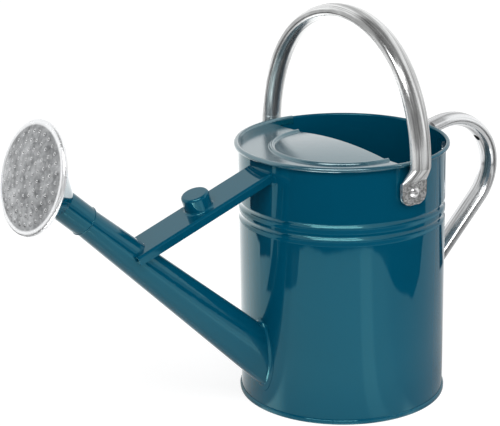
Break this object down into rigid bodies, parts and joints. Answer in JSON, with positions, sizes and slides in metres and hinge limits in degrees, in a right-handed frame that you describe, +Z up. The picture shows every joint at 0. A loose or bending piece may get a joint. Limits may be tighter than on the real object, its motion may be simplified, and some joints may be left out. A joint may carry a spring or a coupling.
{
  "type": "watering can",
  "caption": "Round sheet-metal watering can with a half cover, a long rising spout with a perforated rose, a swinging top handle and a fixed rear handle.",
  "frame": {"origin": "centre of the round foot, on the plane the can stands on", "axes": "+X forward along the spout, +Y towards the left pivot of the top handle, +Z up"},
  "size_m": [0.4947, 0.2102, 0.3405],
  "materials": {
    "paint_body": "glossy teal paint",
    "paint_base": "glossy teal paint",
    "steel_wire": "bare drawn wire",
    "paint_cover": "glossy teal paint",
    "paint_spout": "glossy teal paint",
    "paint_brace": "glossy teal paint",
    "paint_peg": "glossy teal paint",
    "zinc_rear_handle": "bright plated, polished",
    "zinc_bail": "bright plated, polished",
    "steel_rivets": "bright plated",
    "steel_washers": "plated, satin",
    "steel_spacers": "plated, satin",
    "paint_sleeve": "glossy teal paint",
    "paint_rose_back": "glossy teal paint",
    "zinc_rose_face": "galvanised, mottled"
  },
  "bodies": {
    "can": {"body_shell": "paint_body", "base_pan": "paint_base", "rim_wire": "steel_wire", "top_cover": "paint_cover", "spout": "paint_spout", "brace": "paint_brace", "rose_peg": "paint_peg", "rear_handle": "zinc_rear_handle", "handle_rivet_upper": "steel_rivets", "handle_rivet_lower": "steel_rivets", "handle_washer_upper": "steel_washers", "handle_washer_lower": "steel_washers", "bail_rivet_left": "steel_rivets", "bail_rivet_right": "steel_rivets", "bail_washer_left": "steel_washers", "bail_washer_right": "steel_washers", "bail_spacer_left": "steel_spacers", "bail_spacer_right": "steel_spacers"},
    "bail": {"bail_handle": "zinc_bail"},
    "sleeve": {"rose_sleeve": "paint_sleeve"},
    "rose": {"rose_back": "paint_rose_back", "rose_face": "zinc_rose_face"}
  },
  "joints": [
    {"name": "bail_hinge", "type": "hinge", "parent": "can", "child": "bail", "pos_m": [0, 0, 0.1992], "axis": [0, 1, 0], "range_deg": [-71, 85]},
    {"name": "sleeve_slide", "type": "slide", "parent": "can", "child": "sleeve", "axis": [0.7396, 0, 0.673], "range_m": [0, 0.03]},
    {"name": "rose_turn", "type": "hinge", "parent": "sleeve", "child": "rose", "pos_m": [0.27795, 0, 0.22324], "axis": [0.7396, 0, 0.673], "continuous": true}
  ]
}
